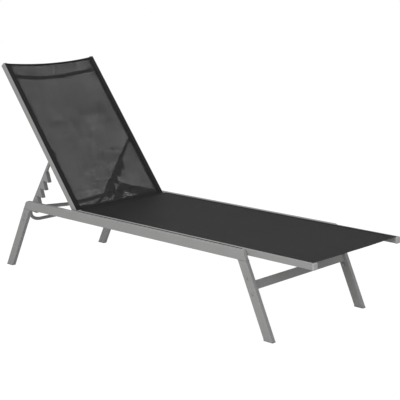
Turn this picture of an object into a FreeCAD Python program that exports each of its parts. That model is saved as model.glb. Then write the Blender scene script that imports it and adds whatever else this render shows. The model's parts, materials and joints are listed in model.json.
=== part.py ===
"""Reclining sun lounger: steel tube frame, textile slings, hinged backrest and a toothed support.

The frame stands on the XY plane with +X toward the foot end and +Z up. Two side frames carry a
long seat frame. The backrest turns on bolts through the side rails. A U shaped support hangs on
the backrest, and its two toothed racks catch a cross bar between the rear legs.
"""

import math
import os

import FreeCAD
import Part
import Sketcher

V = FreeCAD.Vector
doc = FreeCAD.newDocument("sun_lounger")

# ---------------------------------------------------------------- driving dimensions (mm, degrees)
DIMENSIONS = [
    ("frame_width", 600, "over the outer faces of the side frames"),
    ("rail_height", 40, "section height of the side rails and depth of the legs"),
    ("tube_thick", 20, "section thickness of the side rails and legs"),
    ("tube_wall", 1.2, "wall of every steel tube"),
    ("edge_round", 2.5, "outer edge radius of the rectangular tubes"),
    ("corner_round", 18, "radius of the bent corners over the legs"),
    ("rail_top", 336, "top of the side rails above the ground"),
    ("rear_foot_x", -902, "rear leg centre at the ground"),
    ("rear_top_x", -727, "rear leg centre at the rail top"),
    ("front_foot_x", 741, "front leg centre at the ground"),
    ("front_top_x", 588.5, "front leg centre at the rail top"),
    ("cap_thick", 4, "sole of a foot cap"),
    ("cap_plug", 22, "plug of a cap inside its tube"),
    ("cap_gap", 0.1, "play of a plug in its tube"),
    ("seat_rear_x", -393, "rear end of the seat rails without caps"),
    ("seat_foot_x", 928.7, "foot end of the seat rails without caps"),
    ("seat_section", 25, "seat rail section, square"),
    ("seat_outer_y", 278, "outer face of the seat rails"),
    ("seat_top", 338.5, "top of the seat rails"),
    ("groove_width", 6, "keder groove in the sling rails"),
    ("groove_shift", 4, "backrest keder groove outside the middle of its tube"),
    ("groove_depth", 5.5, "keder groove in the sling rails"),
    ("end_cap", 3, "head of the small end caps"),
    ("plug_long", 9, "reach of a rail cap inside its tube"),
    ("sling_thick", 1.4, "woven sling"),
    ("sling_lift", 0.3, "sling above its rails"),
    ("sling_rear_x", -390, "rear edge of the seat sling"),
    ("keder_dia", 3.8, "rod in the sling hem"),
    ("cross_dia", 19, "seat cross tubes"),
    ("cross_rear_x", -345, "rear seat cross tube"),
    ("cross_middle_x", 215, "middle seat cross tube"),
    ("cross_foot_x", 775, "foot seat cross tube"),
    ("cross_drop", 34, "how far the seat cross tubes dip in the middle"),
    ("brace_high", 35, "front brace section"),
    ("brace_z", 201, "front brace centre"),
    ("brace_bolts", 31, "bolts above and below the brace, along the leg"),
    ("brace_plate", 90, "brace end plates, along the leg"),
    ("bar_bolt_high", 268, "upper bolt of a bar plate above the ground"),
    ("bar_bolt_low", 243, "lower bolt of a bar plate above the ground"),
    ("bar_plate_low", 232, "lower end of a bar plate above the ground"),
    ("bar_plate_high", 308, "upper end of a bar plate above the ground"),
    ("bar_dia", 18, "support bar across the rear legs"),
    ("bar_x", -746, "support bar centre under the racks"),
    ("bar_z", 293, "support bar centre under the racks"),
    ("bar_drop", 10, "how far the support bar dips in the middle"),
    ("plate_thick", 3, "end plates of the brace and the bar"),
    ("plate_wide", 32, "end plates of the brace and the bar"),
    ("bolt_dia", 6, "frame bolts"),
    ("pivot_dia", 8, "hinge and support bolts"),
    ("insert_dia", 11, "threaded inserts in the rails"),
    ("run_gap", 0.3, "between faces that slide past each other"),
    ("bolt_play", 0.08, "radial play of a bolt in its hole"),
    ("hinge_x", -425, "backrest hinge"),
    ("hinge_z", 325, "backrest hinge"),
    ("recline", 52, "backrest angle above level at rest"),
    ("back_long", 804, "backrest tube beyond the hinge"),
    ("back_tail", 16, "backrest tube before the hinge"),
    ("back_deep", 25, "backrest tube section, front to back"),
    ("back_outer_y", 272, "outer face of the backrest tubes"),
    ("back_low", 18, "lower cross tube, from the hinge"),
    ("back_high", 735, "upper cross tube, from the hinge"),
    ("back_bow", 35, "how far the upper cross tube bows back"),
    ("arm_dia", 16, "support tube"),
    ("arm_y", 230, "support arm centre"),
    ("arm_long", 424, "support arm, pivot to cross run"),
    ("arm_bend", 85, "bend radius of the support tube"),
    ("arm_head", 7, "support arm above its pivot"),
    ("arm_plug_head", 1.5, "plug over the top of a support arm"),
    ("arm_plug_deep", 2.4, "plug inside the top of a support arm"),
    ("arm_pivot", 310, "support pivot, from the hinge along the backrest"),
    ("arm_tilt", 32.8, "support arm from the vertical at rest"),
    ("tooth_pitch", 47.1, "pitch of the rack teeth"),
    ("tooth_first", 139, "first tooth tip below the pivot"),
    ("tooth_reach", 48, "tooth tips from the arm centre"),
    ("tooth_under", 17, "how far a tooth root lies below its tip"),
    ("tooth_count", 5, "teeth on each rack"),
    ("rack_wide", 20, "rack width"),
    ("rack_thick", 2.5, "rack strip thickness"),
    ("rack_side", 1.5, "side plates of a rack"),
]
sheet = doc.addObject("Spreadsheet::Sheet", "Dimensions")
for row, (alias, value, note) in enumerate(DIMENSIONS, start=1):
    sheet.set(f"A{row}", alias)
    sheet.set(f"B{row}", str(value))
    sheet.setAlias(f"B{row}", alias)
    sheet.set(f"C{row}", note)
doc.recompute()

SIDES = (("left", 1), ("right", -1))


def size(alias):
    """The value of one driving dimension."""
    return float(getattr(sheet, alias))


def bind(item, prop, expression):
    """Binds a property to the sheet. Names starting with d. are sheet cells."""
    item.setExpression(prop, expression.replace("d.", "Dimensions."))


# ---------------------------------------------------------------- building blocks
made = []


def finish(item, label, move=None, axis=V(0, 1, 0), angle=0.0):
    """Names a finished sub-part, turns and moves it, and lists it for export."""
    item.Label = label
    if move is not None:
        placed = FreeCAD.Placement(move, FreeCAD.Rotation(axis, angle))
        item.Placement = placed.multiply(item.Placement)
    made.append(item)
    return item


def origin_plane(body, role):
    return next(f for f in body.Origin.OriginFeatures if f.Role == role)


def new_sketch(body, role):
    sketch = body.newObject("Sketcher::SketchObject", "Sketch")
    sketch.AttachmentSupport = [(origin_plane(body, role), "")]
    sketch.MapMode = "FlatFace"
    return sketch


def draw_rectangle(sketch, wide, high):
    """A rectangle about the origin whose two sizes are bound to the sheet."""
    first = sketch.GeometryCount
    corners = [V(-5, -5, 0), V(5, -5, 0), V(5, 5, 0), V(-5, 5, 0)]
    for i in range(4):
        sketch.addGeometry(Part.LineSegment(corners[i], corners[(i + 1) % 4]), False)
    for i in range(4):
        sketch.addConstraint(Sketcher.Constraint("Coincident", first + i, 2, first + (i + 1) % 4, 1))
    for i in (0, 2):
        sketch.addConstraint(Sketcher.Constraint("Horizontal", first + i))
        sketch.addConstraint(Sketcher.Constraint("Vertical", first + i + 1))
    sketch.addConstraint(Sketcher.Constraint("Symmetric", first, 1, first + 2, 1, -1, 1))
    for side, expression in ((first, wide), (first + 1, high)):
        number = sketch.addConstraint(Sketcher.Constraint("Distance", side, 10.0))
        bind(sketch, f"Constraints[{number}]", expression)


def draw_circle(sketch, diameter):
    """A circle about the origin."""
    number = sketch.addGeometry(Part.Circle(V(0, 0, 0), V(0, 0, 1), 5), False)
    sketch.addConstraint(Sketcher.Constraint("Coincident", number, 3, -1, 1))
    rule = sketch.addConstraint(Sketcher.Constraint("Diameter", number, 10.0))
    bind(sketch, f"Constraints[{rule}]", diameter)


def draw_outline(sketch, points):
    """A closed outline of straight lines through (horizontal, vertical) points."""
    first = sketch.GeometryCount
    count = len(points)
    for i, (across, up) in enumerate(points):
        after = points[(i + 1) % count]
        line = Part.LineSegment(V(across, up, 0), V(after[0], after[1], 0))
        sketch.addGeometry(line, False)
    for i in range(count):
        sketch.addConstraint(
            Sketcher.Constraint("Coincident", first + i, 2, first + (i + 1) % count, 1)
        )


def pad(body, sketch, length):
    """Thickens a sketch evenly to both sides."""
    feature = body.newObject("PartDesign::Pad", "Pad")
    feature.Profile = sketch
    bind(feature, "Length", length)
    feature.Midplane = True
    doc.recompute()
    return feature


def round_edges(body, radius, wanted):
    """Rounds the edges of the body's last feature for which wanted(edge) holds."""
    tip = body.Tip
    names = [f"Edge{i}" for i, e in enumerate(tip.Shape.Edges, start=1) if wanted(e)]
    feature = body.newObject("PartDesign::Fillet", "Fillet")
    feature.Base = (tip, names)
    bind(feature, "Radius", radius)
    doc.recompute()
    return feature


def lies_along(edge, direction):
    if len(edge.Vertexes) < 2:
        return False
    span = edge.Vertexes[1].Point - edge.Vertexes[0].Point
    return span.Length > 1e-6 and abs(abs(span.normalize().dot(direction)) - 1) < 1e-6


def box_tube(wide, high, length):
    """A rectangular steel tube along Z with rounded outer edges, open at both ends."""
    body = doc.addObject("PartDesign::Body", "Tube")
    sketch = new_sketch(body, "XY_Plane")
    draw_rectangle(sketch, wide, high)
    pad(body, sketch, length)
    outer = body.Tip.Shape.BoundBox

    def at_corner(edge):
        return lies_along(edge, V(0, 0, 1)) and abs(edge.Vertexes[0].X) > outer.XMax - 0.01

    round_edges(body, "d.edge_round", at_corner)
    inner = new_sketch(body, "XY_Plane")
    draw_rectangle(inner, f"{wide} - 2 * d.tube_wall", f"{high} - 2 * d.tube_wall")
    hollow = body.newObject("PartDesign::Pocket", "Hollow")
    hollow.Profile = inner
    hollow.Midplane = True
    bind(hollow, "Length", f"{length} + 2")
    doc.recompute()
    return body


def box(wide, deep, high):
    """A box about the origin, sizes bound to the sheet."""
    block = doc.addObject("Part::Box", "Block")
    for prop, expression in (("Length", wide), ("Width", deep), ("Height", high)):
        bind(block, prop, expression)
    doc.recompute()
    block.Placement.Base = V(-block.Length.Value / 2, -block.Width.Value / 2, -block.Height.Value / 2)
    return block


def plain_box(wide, deep, high):
    """A box about the origin with sizes worked out in code."""
    return box(f"{wide:.4f}", f"{deep:.4f}", f"{high:.4f}")


def rod(diameter, length):
    """A round bar along Y, centred on the origin."""
    bar = doc.addObject("Part::Cylinder", "Rod")
    bind(bar, "Radius", f"({diameter}) / 2")
    bind(bar, "Height", length)
    doc.recompute()
    long = float(bar.Height)
    bar.Placement = FreeCAD.Placement(V(0, long / 2, 0), FreeCAD.Rotation(V(1, 0, 0), 90))
    return bar


def shifted(item, move, axis=V(0, 1, 0), angle=0.0):
    """Turns an item about an axis through the origin, then moves it."""
    turned = FreeCAD.Placement(move, FreeCAD.Rotation(axis, angle))
    item.Placement = turned.multiply(item.Placement)
    return item


def combine(kind, base, tools):
    """Part::Cut, Part::Common or Part::Fuse of a base with one or more tools."""
    for tool in tools:
        result = doc.addObject(kind, "Joined")
        result.Base = base
        result.Tool = tool
        doc.recompute()
        base = result
    return base


def cut(base, *tools):
    """A base with tools cut out of it."""
    return combine("Part::Cut", base, tools)


def group(items):
    """Several separate solids of one kind as one sub-part."""
    bundle = doc.addObject("Part::Compound", "Group")
    bundle.Links = items
    doc.recompute()
    return bundle


def bent_tube(points, radius, diameter, wall=True):
    """A round tube swept along straight runs in the YZ plane joined by arcs."""
    body = doc.addObject("PartDesign::Body", "BentTube")
    path = new_sketch(body, "YZ_Plane")
    corners = [V(across, up, 0) for across, up in points]
    start = corners[0]
    for before, corner, after in zip(corners, corners[1:], corners[2:]):
        into = (corner - before).normalize()
        out = (after - corner).normalize()
        turn = math.acos(max(-1.0, min(1.0, into.dot(out))))
        reach = radius * math.tan(turn / 2)
        enter = corner - into * reach
        leave = corner + out * reach
        inward = (out - into).normalize()
        middle = corner + inward * (radius / math.cos(turn / 2) - radius)
        path.addGeometry(Part.LineSegment(start, enter), False)
        path.addGeometry(Part.Arc(enter, middle, leave), False)
        start = leave
    path.addGeometry(Part.LineSegment(start, corners[-1]), False)
    section = body.newObject("Sketcher::SketchObject", "Section")
    first = (corners[1] - corners[0]).normalize()
    normal = V(0, first.x, first.y)
    section.Placement = FreeCAD.Placement(
        V(0, corners[0].x, corners[0].y), FreeCAD.Rotation(V(0, 0, 1), normal)
    )
    draw_circle(section, diameter)
    if wall:
        draw_circle(section, f"{diameter} - 2 * d.tube_wall")
    doc.recompute()
    sweep = body.newObject("PartDesign::AdditivePipe", "Sweep")
    sweep.Profile = section
    sweep.Spine = path
    doc.recompute()
    return body


# ---------------------------------------------------------------- worked-out places
half_width = size("frame_width") / 2
rail_bottom = size("rail_top") - size("rail_height")
rail_middle_y = half_width - size("tube_thick") / 2
inner_face_y = half_width - size("tube_thick")


class Leg:
    """The line of one leg in the XZ plane."""

    def __init__(self, foot, top):
        self.foot_x = size(foot)
        self.top_x = size(top)
        self.tilt = math.degrees(math.atan2(self.foot_x - self.top_x, size("rail_top")))
        self.half = size("rail_height") / 2 / math.cos(math.radians(self.tilt))

    def centre(self, height):
        return self.foot_x + (self.top_x - self.foot_x) * height / size("rail_top")

    def point(self, height, side_y):
        return V(self.centre(height), side_y, height)


rear = Leg("rear_foot_x", "rear_top_x")
front = Leg("front_foot_x", "front_top_x")
hinge = V(size("hinge_x"), 0, size("hinge_z"))
lean = math.radians(size("recline"))
support_pivot = hinge + V(-math.cos(lean), 0, math.sin(lean)) * size("arm_pivot")


def finish_back(item, label):
    """Places a backrest piece that was built lying level toward the rear, hinge at the origin."""
    return finish(item, label, hinge, V(0, 1, 0), size("recline"))


def finish_support(item, label):
    """Places a support piece that was built hanging straight down, pivot at the origin."""
    return finish(item, label, support_pivot, V(0, 1, 0), size("arm_tilt"))


def across(item, y):
    """Moves an item along Y."""
    return shifted(item, V(0, y, 0))


# ---------------------------------------------------------------- side frames
def side_rail(label, side):
    """A side rail whose ends follow the legs and whose upper corners are bent round."""
    body = doc.addObject("PartDesign::Body", "Rail")
    ends = [
        (rear.centre(rail_bottom) - rear.half, rail_bottom),
        (rear.centre(size("rail_top")) - rear.half, size("rail_top")),
        (front.centre(size("rail_top")) + front.half, size("rail_top")),
        (front.centre(rail_bottom) + front.half, rail_bottom),
    ]
    sketch = new_sketch(body, "XZ_Plane")
    draw_outline(sketch, ends)
    pad(body, sketch, "d.tube_thick")

    def upper_corner(edge):
        return lies_along(edge, V(0, 1, 0)) and edge.Vertexes[0].Z > size("rail_top") - 1

    round_edges(body, "d.corner_round", upper_corner)

    def along_side(edge):
        return all(abs(v.Y) > size("tube_thick") / 2 - 0.01 for v in edge.Vertexes)

    round_edges(body, "d.edge_round", along_side)
    wall = size("tube_wall")
    inside = [
        (ends[0][0] + 6 * wall, rail_bottom + wall),
        (ends[1][0] + 8 * wall, size("rail_top") - wall),
        (ends[2][0] - 8 * wall, size("rail_top") - wall),
        (ends[3][0] - 6 * wall, rail_bottom + wall),
    ]
    inner = new_sketch(body, "XZ_Plane")
    draw_outline(inner, inside)
    hollow = body.newObject("PartDesign::Pocket", "Hollow")
    hollow.Profile = inner
    hollow.Midplane = True
    bind(hollow, "Length", "d.tube_thick - 2 * d.tube_wall")
    doc.recompute()
    across(body, side * rail_middle_y)
    hole = rod("d.insert_dia + 2 * d.bolt_play", "0.8 * d.tube_thick")
    shifted(hole, hinge + V(0, side * (inner_face_y + 5), 0))
    return finish(cut(body, hole), label)


def leg(label, line, side, bolt_heights):
    """A leg tube cut level under the rail and at its foot, with its bolt holes."""
    tube = box_tube("d.rail_height", "d.tube_thick", "d.rail_top + 100")
    middle = (rail_bottom + size("cap_thick")) / 2
    shifted(tube, line.point(middle, side * rail_middle_y), V(0, 1, 0), -line.tilt)
    slab = box("400", "2 * d.tube_thick", "d.rail_top - d.rail_height - d.cap_thick")
    shifted(slab, line.point(middle, side * rail_middle_y))
    trimmed = combine("Part::Common", tube, [slab])
    holes = []
    for height in bolt_heights:
        hole = rod("d.bolt_dia + 2 * d.bolt_play", "2 * d.tube_thick")
        holes.append(shifted(hole, line.point(height, side * rail_middle_y)))
    return finish(cut(trimmed, *holes), label)


def foot_cap(label, line, side):
    """A plastic cap: a flat sole under the tube and a plug inside it."""
    play = "2 * (d.tube_wall + d.cap_gap)"
    block = box(f"d.rail_height - {play}", f"d.tube_thick - {play}", "4 * d.cap_plug")
    shifted(block, V(0, 0, 0), V(0, 1, 0), -line.tilt)
    keep = box("200", "100", "d.cap_plug")
    shifted(keep, V(0, 0, size("cap_thick") + size("cap_plug") / 2))
    plug = combine("Part::Common", block, [keep])
    wide = doc.addObject("PartDesign::Body", "Sole")
    sketch = new_sketch(wide, "XZ_Plane")
    slope = math.tan(math.radians(line.tilt)) * size("cap_thick")
    draw_outline(
        sketch,
        [
            (-line.half, 0),
            (line.half, 0),
            (line.half - slope, size("cap_thick")),
            (-line.half - slope, size("cap_thick")),
        ],
    )
    pad(wide, sketch, "d.tube_thick")
    whole = combine("Part::Fuse", wide, [plug])
    return finish(whole, label, line.point(0, side * rail_middle_y))


lean_front = math.radians(front.tilt)
bolt_rise = size("brace_bolts") * math.cos(lean_front)
brace_bolt_heights = [size("brace_z") + bolt_rise, size("brace_z") - bolt_rise]
bar_bolt_heights = [size("bar_bolt_high"), size("bar_bolt_low")]

for word, side in SIDES:
    side_rail(f"rail_{word}", side)
    leg(f"rear_leg_{word}", rear, side, bar_bolt_heights)
    leg(f"front_leg_{word}", front, side, brace_bolt_heights)
    foot_cap(f"rear_foot_cap_{word}", rear, side)
    foot_cap(f"front_foot_cap_{word}", front, side)


# ---------------------------------------------------------------- front brace and support bar
def end_plate(label, line, side, low, high, bolt_heights):
    """A flat plate on the inner face of a leg, from one height to another along it."""
    long = (high - low) / math.cos(math.radians(line.tilt))
    plate = box("d.plate_wide", "d.plate_thick", f"{long:.4f}")
    y = side * (inner_face_y - size("plate_thick") / 2)
    shifted(plate, line.point((low + high) / 2, y), V(0, 1, 0), -line.tilt)
    holes = [
        shifted(rod("d.bolt_dia + 2 * d.bolt_play", "4 * d.plate_thick"), line.point(h, y))
        for h in bolt_heights
    ]
    return finish(cut(plate, *holes), label)


plate_reach = size("brace_plate") / 2 * math.cos(lean_front)
for word, side in SIDES:
    low, high = size("brace_z") - plate_reach, size("brace_z") + plate_reach
    end_plate(f"brace_plate_{word}", front, side, low, high, brace_bolt_heights)
    low, high = size("bar_plate_low"), size("bar_plate_high")
    end_plate(f"bar_plate_{word}", rear, side, low, high, bar_bolt_heights)

brace = box_tube("d.tube_thick", "d.brace_high", "d.frame_width - 2 * d.tube_thick - 2 * d.plate_thick")
shifted(brace, V(0, 0, 0), V(1, 0, 0), 90)
finish(brace, "front_brace", front.point(size("brace_z"), 0), V(0, 1, 0), -front.tilt)


def dipped(half, flat, slope, drop):
    """Corner points of a tube with level ends and a lowered middle."""
    right = [(half, 0), (flat + slope, 0), (flat, -drop)]
    left = [(-y, z) for y, z in right]
    return left + right[::-1]


def place_across(body, label, x, z):
    """Places a tube that runs across the lounger."""
    return finish(body, label, V(x, 0, z))


plate_face_y = inner_face_y - size("plate_thick")
bar = bent_tube(dipped(plate_face_y, 60, 120, size("bar_drop")), 90, "d.bar_dia")
place_across(bar, "support_bar", size("bar_x"), size("bar_z"))


# ---------------------------------------------------------------- seat frame
def sling_rail(section_wide, section_high, groove_v, long):
    """A sling rail along X: a box section with a keder groove in its top face."""
    body = doc.addObject("PartDesign::Body", "SlingRail")
    half_w, half_h = section_wide / 2, section_high / 2
    groove_w, groove_d = size("groove_width") / 2, size("groove_depth")
    lip = 1.4
    sketch = new_sketch(body, "YZ_Plane")
    outline = [
        (-half_w, -half_h),
        (half_w, -half_h),
        (half_w, half_h),
        (groove_v + lip, half_h),
        (groove_v + lip, half_h - lip),
        (groove_v + groove_w, half_h - lip),
        (groove_v + groove_w, half_h - groove_d),
        (groove_v - groove_w, half_h - groove_d),
        (groove_v - groove_w, half_h - lip),
        (groove_v - lip, half_h - lip),
        (groove_v - lip, half_h),
        (-half_w, half_h),
    ]
    draw_outline(sketch, outline)
    wall = size("tube_wall")
    top = half_h - groove_d - wall
    inside = [(-half_w + wall, -half_h + wall), (half_w - wall, -half_h + wall)]
    draw_outline(sketch, [*inside, (half_w - wall, top), (-half_w + wall, top)])
    pad(body, sketch, f"{long:.4f}")

    def outer_edge(edge):
        at = edge.Vertexes[0]
        outside = abs(abs(at.Y) - half_w) < 0.01 and abs(abs(at.Z) - half_h) < 0.01
        return lies_along(edge, V(1, 0, 0)) and outside

    round_edges(body, "0.8 * d.edge_round", outer_edge)
    return body


def rail_caps(ends, wide, high, groove_drop):
    """Small plastic caps: a head over each tube end and a plug inside."""
    caps = []
    play = size("tube_wall") + size("cap_gap")
    plug_high = high - groove_drop - 2 * play - size("tube_wall")
    for centre, direction in ends:
        head = plain_box(size("end_cap"), wide, high)
        plug = plain_box(size("plug_long"), wide - 2 * play, plug_high)
        shifted(head, V(direction * size("end_cap") / 2, 0, 0))
        low = -high / 2 + play + plug_high / 2
        shifted(plug, V(-direction * size("plug_long") / 2, 0, low))
        caps.append(shifted(combine("Part::Fuse", head, [plug]), centre))
    return caps


section = size("seat_section")
seat_long = size("seat_foot_x") - size("seat_rear_x")
seat_middle_x = (size("seat_foot_x") + size("seat_rear_x")) / 2
seat_y = size("seat_outer_y") - section / 2
seat_z = size("seat_top") - section / 2
for word, side in SIDES:
    rail = sling_rail(section, section, 0, seat_long)
    finish(rail, f"seat_rail_{word}", V(seat_middle_x, side * seat_y, seat_z))
    ends = [
        (V(size("seat_foot_x"), side * seat_y, seat_z), 1),
        (V(size("seat_rear_x"), side * seat_y, seat_z), -1),
    ]
    finish(group(rail_caps(ends, section, section, size("groove_depth"))), f"seat_rail_caps_{word}")

half_clear = size("seat_outer_y") - section
for name in ("rear", "middle", "foot"):
    tube = bent_tube(dipped(half_clear, 90, 110, size("cross_drop")), 80, "d.cross_dia")
    place_across(tube, f"seat_cross_tube_{name}", size(f"cross_{name}_x"), seat_z)

tab_gap = inner_face_y - size("seat_outer_y")
tabs = []
for x in (-340, 130, 560):
    for _, side in SIDES:
        tab = plain_box(36, tab_gap, 14)
        tabs.append(shifted(tab, V(x, side * (inner_face_y - tab_gap / 2), 325)))
finish(group(tabs), "seat_weld_tabs")


# ---------------------------------------------------------------- slings
def keder_rod(long):
    """The rod sewn in a hem, along X."""
    bar = rod("d.keder_dia", f"{long:.4f}")
    bar.Placement = FreeCAD.Placement(V(-long / 2, 0, 0), FreeCAD.Rotation(V(0, 1, 0), 90))
    return bar


def flat_sling(long, half, lift):
    """A flat sheet of sling cloth that lies a little above its rails."""
    slab = plain_box(long, 2 * half, size("sling_thick"))
    return shifted(slab, V(0, 0, lift + size("sling_thick") / 2))


seat_sling_long = size("seat_foot_x") - size("sling_rear_x")
sling_middle_x = (size("seat_foot_x") + size("sling_rear_x")) / 2
sling = flat_sling(seat_sling_long, seat_y, size("seat_top") + size("sling_lift"))
finish(sling, "seat_sling", V(sling_middle_x, 0, 0))
for word, side in SIDES:
    rod_z = size("seat_top") - size("groove_depth") + size("keder_dia") / 2 + 0.1
    bar = keder_rod(seat_sling_long - 4)
    finish(bar, f"seat_keder_{word}", V(sling_middle_x, side * seat_y, rod_z))

# ---------------------------------------------------------------- backrest
deep = size("back_deep")
thick = size("tube_thick")
back_y = size("back_outer_y") - thick / 2
back_span = size("back_long") + size("back_tail")
back_mid = -(size("back_long") - size("back_tail")) / 2
groove_shift = size("groove_shift")
pivot_hole = "d.pivot_dia + 2 * d.bolt_play"
for word, side in SIDES:
    rail = sling_rail(thick, deep, side * groove_shift, back_span)
    shifted(rail, V(back_mid, side * back_y, 0))
    hinge_hole = across(rod(pivot_hole, "3 * d.tube_thick"), side * back_y)
    insert_hole = rod("d.insert_dia + 2 * d.bolt_play", "0.7 * d.tube_thick")
    shifted(insert_hole, V(-size("arm_pivot"), side * (back_y - thick / 2 + 4), 0))
    finish_back(cut(rail, hinge_hole, insert_hole), f"backrest_rail_{word}")
    ends = [
        (V(-size("back_long"), side * back_y, 0), -1),
        (V(size("back_tail"), side * back_y, 0), 1),
    ]
    caps = rail_caps(ends, thick, deep, size("groove_depth"))
    finish_back(group(caps), f"backrest_rail_caps_{word}")
    rod_z = deep / 2 - size("groove_depth") + size("keder_dia") / 2 + 0.1
    bar = keder_rod(size("back_long") - 30)
    shifted(bar, V(-size("back_long") / 2 - 12, side * (back_y + groove_shift), rod_z))
    finish_back(bar, f"backrest_keder_{word}")

back_clear = size("back_outer_y") - thick
low_tube = bent_tube(dipped(back_clear, 120, 90, 12), 80, "d.cross_dia")
shifted(low_tube, V(-size("back_low"), 0, -1))
finish_back(low_tube, "backrest_lower_tube")
bow = size("back_bow")
high_tube = bent_tube(dipped(back_clear, 60, 170, bow), 160, "d.cross_dia")
shifted(high_tube, V(-size("back_high"), 0, 0))
finish_back(high_tube, "backrest_upper_tube")

back_sling_long = size("back_long") + 3
back_sling = flat_sling(back_sling_long, back_y + groove_shift, deep / 2 + size("sling_lift"))
shifted(back_sling, V(-size("back_long") + back_sling_long / 2, 0, 0))
finish_back(back_sling, "backrest_sling")


# ---------------------------------------------------------------- support frame
def rack():
    """A saw-tooth channel folded from sheet steel, open toward the arm, seen from the side."""
    body = doc.addObject("PartDesign::Body", "Rack")
    root = size("arm_dia") / 2 + size("rack_thick") + 0.6
    back = size("arm_dia") / 4
    teeth = []
    for i in range(int(size("tooth_count"))):
        tip = size("tooth_first") + i * size("tooth_pitch")
        teeth.append((root, -(tip - size("tooth_pitch") + size("tooth_under"))))
        teeth.append((size("tooth_reach"), -tip))
    last = tip + size("tooth_under")
    teeth.append((root, -last))
    sketch = new_sketch(body, "XZ_Plane")
    draw_outline(sketch, [(back, teeth[0][1]), *teeth, (back, -last)])
    pad(body, sketch, "d.rack_wide")
    inner = new_sketch(body, "XZ_Plane")
    inside = offset_line(teeth, size("rack_thick"))
    past, web = -size("arm_dia"), size("arm_dia") / 2 + 0.1
    above, below = teeth[0][1] + 5, -last - 5
    draw_outline(inner, [(past, above), (web, above), *inside, (web, below), (past, below)])
    hollow = body.newObject("PartDesign::Pocket", "Hollow")
    hollow.Profile = inner
    hollow.Midplane = True
    bind(hollow, "Length", "d.rack_wide - 2 * d.rack_side")
    doc.recompute()
    return body


def offset_line(points, distance):
    """The same zigzag moved sideways toward the arm, mitred at its corners."""
    moved = []
    last = len(points) - 1
    for i, (x, z) in enumerate(points):
        normals = []
        for a, b in ((max(i - 1, 0), max(i, 1)), (min(i, last - 1), min(i + 1, last))):
            dx, dz = points[b][0] - points[a][0], points[b][1] - points[a][1]
            long = math.hypot(dx, dz)
            normals.append((dz / long, -dx / long))
        nx, nz = (normals[0][0] + normals[1][0]) / 2, (normals[0][1] + normals[1][1]) / 2
        scale = distance / (nx * nx + nz * nz)
        limit = min(scale * math.hypot(nx, nz), 2.0 * distance)
        length = math.hypot(nx, nz)
        closest = size("arm_dia") / 2 + 0.1
        moved.append((max(x + nx / length * limit, closest), z + nz / length * limit))
    return moved


arm_y = size("arm_y")
arm_head = size("arm_head")
u_points = [(-arm_y, arm_head), (-arm_y, -size("arm_long")), (arm_y, -size("arm_long")), (arm_y, arm_head)]
u_tube = bent_tube(u_points, size("arm_bend"), "d.arm_dia")
u_holes = [across(rod(pivot_hole, "3 * d.tube_thick"), side * arm_y) for _, side in SIDES]
finish_support(cut(u_tube, *u_holes), "support_tube")
for word, side in SIDES:
    finish_support(across(rack(), side * arm_y), f"support_rack_{word}")


def tube_plug(y):
    """A flat plastic plug in the top end of a support arm."""
    head = rod("d.arm_dia", "d.arm_plug_head")
    stem = rod("d.arm_dia - 2 * d.tube_wall - 2 * d.cap_gap", "d.arm_plug_deep")
    head_z = arm_head + size("arm_plug_head") / 2
    stem_z = arm_head - size("arm_plug_deep") / 2
    for piece, height in ((head, head_z), (stem, stem_z)):
        shifted(piece, V(0, 0, 0), V(1, 0, 0), 90)
        shifted(piece, V(0, y, height))
    return combine("Part::Fuse", head, [stem])


finish_support(group([tube_plug(side * arm_y) for _, side in SIDES]), "support_tube_plugs")


# ---------------------------------------------------------------- bolts, nuts and spacers
def turned_rod(diameter, start, end):
    """A round bar along Y between two places, on the axis through the origin."""
    bar = rod(diameter, f"{abs(end - start):.4f}")
    return across(bar, (start + end) / 2)


def bolt(diameter, side, outer, inner, head=1.9, head_high=0.35):
    """A button head bolt with its head's face at one place and its tip at another."""
    shank = turned_rod(diameter, side * outer, side * inner)
    head_end = outer + math.copysign(head_high * size_of(diameter), outer - inner)
    top = turned_rod(f"{head} * ({diameter})", side * outer, side * head_end)
    return combine("Part::Fuse", shank, [top])


def size_of(expression):
    """The value of a sheet cell named as in an expression."""
    return size(expression.replace("d.", ""))


def nut(diameter, side, place, high=0.8):
    """A hexagon nut with a clear bore."""
    across_flats = 1.75 * size_of(diameter)
    thick_y = high * size_of(diameter)
    body = doc.addObject("PartDesign::Body", "Nut")
    sketch = new_sketch(body, "XZ_Plane")
    corner = across_flats / math.sqrt(3)
    corners = [(corner * math.cos(k * math.pi / 3), corner * math.sin(k * math.pi / 3)) for k in range(6)]
    draw_outline(sketch, corners)
    draw_circle(sketch, f"{diameter} + 0.1")
    pad(body, sketch, f"{thick_y:.4f}")
    return across(body, side * (place - thick_y / 2))


def ring(inner, outer_size, side, start, end):
    """A plain washer or spacer round a bolt."""
    disc = turned_rod(outer_size, side * start, side * end)
    past = math.copysign(1, start - end)
    bore = turned_rod(inner, side * (start + past), side * (end - past))
    return cut(disc, bore)


def frame_fasteners(name, line, heights):
    """Bolts through the legs and end plates, with nuts on the inside."""
    bolts, nuts = [], []
    for height in heights:
        for _, side in SIDES:
            nut_face = inner_face_y - size("plate_thick")
            bolts.append(shifted(bolt("d.bolt_dia", side, half_width, nut_face - 7), line.point(height, 0)))
            nuts.append(shifted(nut("d.bolt_dia", side, nut_face), line.point(height, 0)))
    finish(group(bolts), f"{name}_bolts")
    finish(group(nuts), f"{name}_nuts")


frame_fasteners("brace", front, brace_bolt_heights)
frame_fasteners("bar", rear, bar_bolt_heights)

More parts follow.
